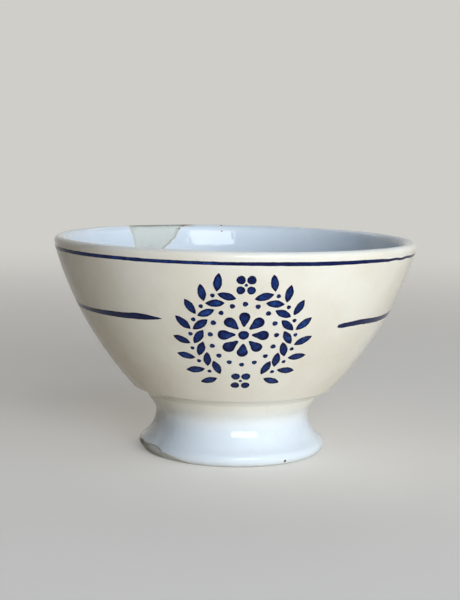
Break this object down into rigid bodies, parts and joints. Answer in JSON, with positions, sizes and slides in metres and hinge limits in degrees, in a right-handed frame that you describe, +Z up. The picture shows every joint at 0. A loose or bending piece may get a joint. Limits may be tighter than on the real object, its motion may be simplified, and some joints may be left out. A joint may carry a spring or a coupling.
{
  "type": "latte bowl",
  "caption": "Footed latte bowl in glazed earthenware with a rounded lip, flared wall and hollow pedestal foot, painted with blue lines and a floral medallion.",
  "frame": {"origin": "centre of the foot's bearing ring, on the surface that the bowl stands on", "axes": "+Z up along the axis that the bowl is turned on, -Y towards the painted medallion, +X to the right of a viewer who faces the medallion"},
  "size_m": [0.14, 0.14, 0.0834],
  "materials": {
    "white_glaze": "cream white glaze over earthenware, glossy, finely crazed",
    "slip": "fired slip, matte",
    "cobalt_blue": "cobalt blue brushed under the glaze, glossy"
  },
  "bodies": {
    "root": {"bowl": "white_glaze", "foot": "white_glaze", "luting_slip": "slip", "rim_line": "cobalt_blue", "side_stripe": "cobalt_blue", "rosette_eye": "cobalt_blue", "rosette_petals": "cobalt_blue", "bead_ring": "cobalt_blue", "wreath_leaves": "cobalt_blue", "wreath_berries": "cobalt_blue", "quatrefoils": "cobalt_blue"}
  },
  "joints": []
}
